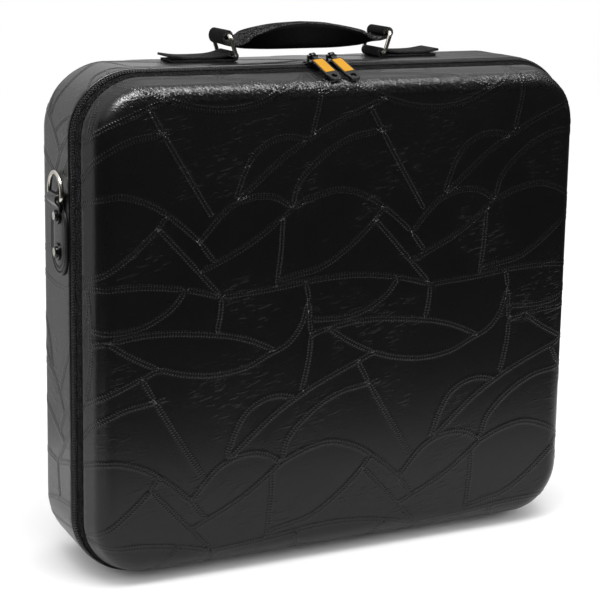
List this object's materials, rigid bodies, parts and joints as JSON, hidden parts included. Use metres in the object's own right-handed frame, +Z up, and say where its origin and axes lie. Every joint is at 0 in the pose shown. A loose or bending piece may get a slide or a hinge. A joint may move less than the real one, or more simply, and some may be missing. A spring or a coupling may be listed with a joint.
{
  "type": "console carrying bag",
  "caption": "Moulded leather-look carrying bag for a game console, with a zipped lid that folds down, a top handle on wire rings and a carrying ring on each side wall.",
  "frame": {"origin": "middle of the bounding box's bottom, where the bag stands", "axes": "+Z up, the lid faces -Y, +X to the right as seen from the lid"},
  "size_m": [0.4662, 0.118, 0.4361],
  "materials": {
    "leather_skin": "satin embossed",
    "tab_leather": "satin",
    "zip_tape": "woven",
    "webbing": "woven",
    "zip_coil": "satin",
    "slider_metal": "gloss black",
    "yellow_plate": "gloss",
    "ring_nickel": "nickel plated"
  },
  "bodies": {
    "back": {"back_shell": "leather_skin", "back_zip_tape": "zip_tape", "back_zip_coil": "zip_coil", "hinge_strip": "zip_tape", "handle_anchor_left": "tab_leather", "side_patch_left": "tab_leather", "d_ring_loop_left": "tab_leather", "patch_rivets_left": "ring_nickel", "handle_anchor_right": "tab_leather", "side_patch_right": "tab_leather", "d_ring_loop_right": "tab_leather", "patch_rivets_right": "ring_nickel"},
    "lid": {"lid_shell": "leather_skin", "lid_zip_tape": "zip_tape", "lid_zip_coil": "zip_coil"},
    "slider_left": {"zip_slider_left": "slider_metal"},
    "pull_left": {"zip_pull_left": "slider_metal", "pull_plate_left": "yellow_plate"},
    "handle_ring_left": {"handle_ring_left": "ring_nickel"},
    "d_ring_left": {"d_ring_left": "ring_nickel"},
    "slider_right": {"zip_slider_right": "slider_metal"},
    "pull_right": {"zip_pull_right": "slider_metal", "pull_plate_right": "yellow_plate"},
    "handle_ring_right": {"handle_ring_right": "ring_nickel"},
    "d_ring_right": {"d_ring_right": "ring_nickel"},
    "handle_grip": {"handle_grip": "webbing"}
  },
  "joints": [
    {"name": "lid_hinge", "type": "hinge", "parent": "back", "child": "lid", "pos_m": [0, -0.024, 0], "axis": [1, 0, 0], "range_deg": [0, 180]},
    {"name": "zip_slide_left", "type": "slide", "parent": "lid", "child": "slider_left", "axis": [-1, 0, 0], "range_m": [0, 0.143]},
    {"name": "pull_hinge_left", "type": "hinge", "parent": "slider_left", "child": "pull_left", "pos_m": [-0.0205, -0.024, 0.4162], "axis": [-1, 0, 0], "range_deg": [0, 140]},
    {"name": "zip_slide_right", "type": "slide", "parent": "lid", "child": "slider_right", "axis": [1, 0, 0], "range_m": [0, 0.16]},
    {"name": "pull_hinge_right", "type": "hinge", "parent": "slider_right", "child": "pull_right", "pos_m": [-0.0035, -0.024, 0.4162], "axis": [-1, 0, 0], "range_deg": [0, 140]},
    {"name": "handle_swing", "type": "hinge", "parent": "back", "child": "handle_ring_left", "pos_m": [-0.075, 0.024, 0.41405], "axis": [0, 1, 0], "range_deg": [-15, 15]},
    {"name": "handle_grip_pivot", "type": "hinge", "parent": "handle_ring_left", "child": "handle_grip", "pos_m": [-0.08056, 0.024, 0.43117], "axis": [0, 1, 0], "range_deg": [-14.2, 14.2]},
    {"name": "handle_ring_right_pivot", "type": "hinge", "parent": "back", "child": "handle_ring_right", "pos_m": [0.061, 0.024, 0.41405], "axis": [0, 1, 0], "range_deg": [-15.1, 15.1]},
    {"name": "d_ring_hinge_left", "type": "hinge", "parent": "back", "child": "d_ring_left", "pos_m": [-0.22905, 0.0015, 0.3085], "axis": [0, -1, 0], "range_deg": [0, 150]},
    {"name": "d_ring_hinge_right", "type": "hinge", "parent": "back", "child": "d_ring_right", "pos_m": [0.22905, 0.0015, 0.3085], "axis": [0, 1, 0], "range_deg": [0, 150]}
  ],
  "couplings": [
    {"joint": "handle_grip_pivot", "follows": "handle_swing", "ratio": -0.9244},
    {"joint": "handle_ring_right_pivot", "follows": "handle_swing", "ratio": 1}
  ]
}
